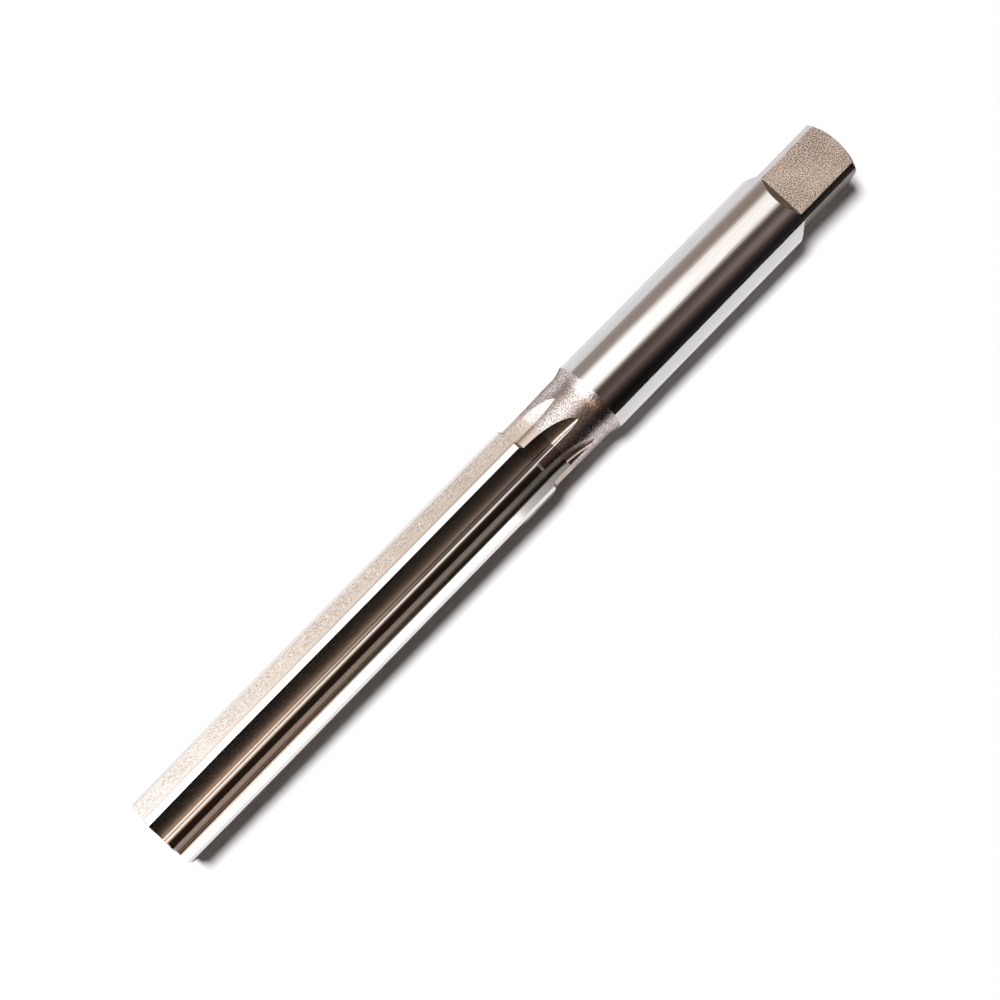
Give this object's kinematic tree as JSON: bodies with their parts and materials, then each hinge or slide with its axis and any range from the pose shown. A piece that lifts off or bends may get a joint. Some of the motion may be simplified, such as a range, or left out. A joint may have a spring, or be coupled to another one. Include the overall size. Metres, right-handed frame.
{
  "type": "hand reamer",
  "caption": "Solid straight-flute hand reamer with a long fluted cutting part, a waisted neck, a plain round shank and a driving square.",
  "frame": {"origin": "on the tool's axis, halfway between its two end faces", "axes": "+X along the axis from the cutting end to the driving square, +Z out of one flat of the square"},
  "size_m": [0.163, 0.0144, 0.0144],
  "materials": {
    "tool_steel": "ground high-speed steel, with a blasted neck and square"
  },
  "bodies": {
    "root": {"reamer": "tool_steel"}
  },
  "joints": []
}
